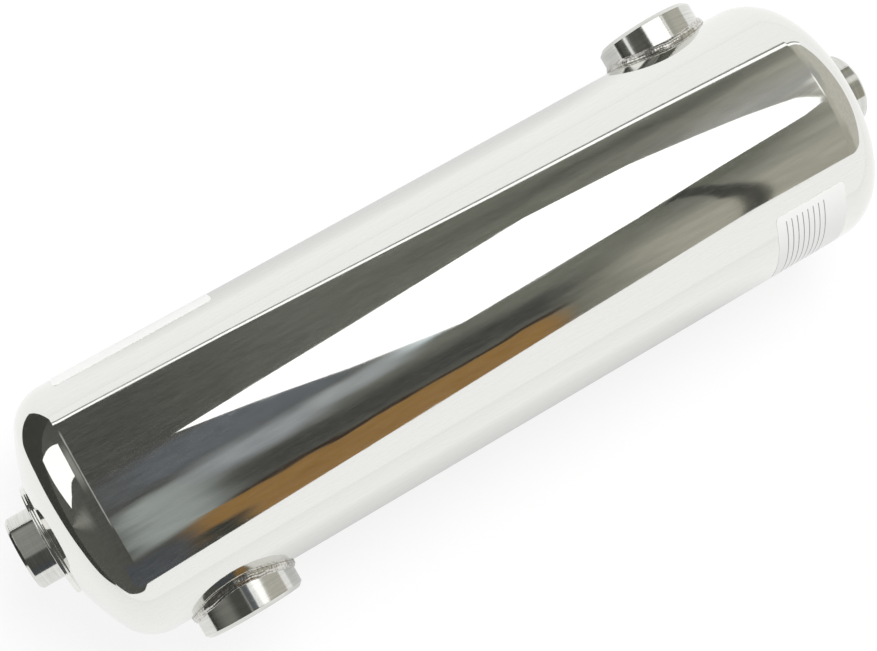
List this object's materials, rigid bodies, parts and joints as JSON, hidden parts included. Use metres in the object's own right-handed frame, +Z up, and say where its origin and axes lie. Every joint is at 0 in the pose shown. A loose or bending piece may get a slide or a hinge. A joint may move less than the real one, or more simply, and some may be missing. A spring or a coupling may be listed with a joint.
{
  "type": "pool heat exchanger",
  "caption": "Polished stainless shell-and-tube pool heat exchanger: round shell with dished ends, a threaded socket on each end and two on its sides.",
  "frame": {"origin": "on the floor, under the middle of the shell it lies on", "axes": "+X along the shell towards the right end socket, +Y towards the right side socket's mouth, +Z up"},
  "size_m": [0.4828, 0.158, 0.1329],
  "materials": {
    "polished_shell": "mirror-polished stainless steel",
    "polished_sockets": "turned and polished stainless steel",
    "weld_metal": "as-laid weld ripples",
    "tube_sheets": "plain rolled stainless steel",
    "baffles": "plain rolled stainless steel",
    "tubes": "drawn stainless steel tube"
  },
  "bodies": {
    "root": {"shell_tube": "polished_shell", "left_head": "polished_shell", "right_head": "polished_shell", "left_end_socket": "polished_sockets", "right_end_socket": "polished_sockets", "left_side_socket": "polished_sockets", "right_side_socket": "polished_sockets", "left_side_weld": "weld_metal", "right_side_weld": "weld_metal", "left_tube_sheet": "tube_sheets", "right_tube_sheet": "tube_sheets", "baffle_1": "baffles", "baffle_2": "baffles", "baffle_3": "baffles", "tube_01": "tubes", "tube_02": "tubes", "tube_03": "tubes", "tube_04": "tubes", "tube_05": "tubes", "tube_06": "tubes", "tube_07": "tubes", "tube_08": "tubes", "tube_09": "tubes", "tube_10": "tubes", "tube_11": "tubes", "tube_12": "tubes", "tube_13": "tubes", "tube_14": "tubes", "tube_15": "tubes", "tube_16": "tubes", "tube_17": "tubes", "tube_18": "tubes", "tube_19": "tubes"}
  },
  "joints": []
}
